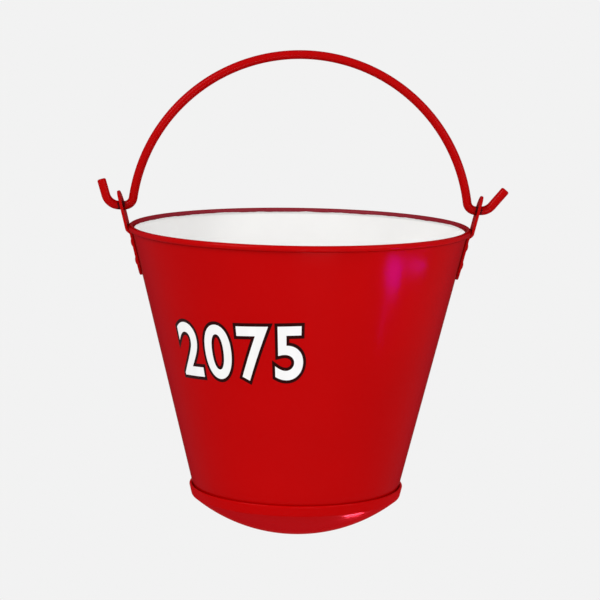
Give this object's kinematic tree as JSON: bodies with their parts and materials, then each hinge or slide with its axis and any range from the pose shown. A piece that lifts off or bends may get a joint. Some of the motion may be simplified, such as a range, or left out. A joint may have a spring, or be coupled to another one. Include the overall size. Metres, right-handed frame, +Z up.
{
  "type": "fire bucket",
  "caption": "Round-bottomed steel fire bucket with a tapered wall, wired rim, folded hem and riveted ears, hung from a swinging wire bail.",
  "frame": {"origin": "under the crown of the bail, where a hook holds the bucket, on the bucket's own axis", "axes": "+Z up along the bucket's axis, +X from the left ear to the right ear along the pivot, +Y from the front to the lock seam at the back"},
  "size_m": [0.3494, 0.292, 0.4141],
  "materials": {
    "enamelled_sheet": "gloss red enamel outside and gloss white enamel inside, on sheet steel",
    "bare_wire": "drawn steel wire, hidden in the rim",
    "enamelled_ear": "gloss red enamel on steel strap",
    "enamelled_rivet": "gloss red enamel on steel",
    "enamelled_rod": "gloss red enamel on round steel rod"
  },
  "bodies": {
    "bail": {"bail_handle": "enamelled_rod"},
    "bucket": {"body_shell": "enamelled_sheet", "rim_wire": "bare_wire", "bottom_dome": "enamelled_sheet", "ear_left": "enamelled_ear", "ear_right": "enamelled_ear", "rivet_left_upper": "enamelled_rivet", "rivet_left_lower": "enamelled_rivet", "rivet_right_upper": "enamelled_rivet", "rivet_right_lower": "enamelled_rivet"}
  },
  "joints": [
    {"name": "bucket_swing", "type": "hinge", "parent": "bail", "child": "bucket", "pos_m": [0, 0, -0.12623], "axis": [1, 0, 0], "range_deg": [-107.6, 107.6]}
  ]
}
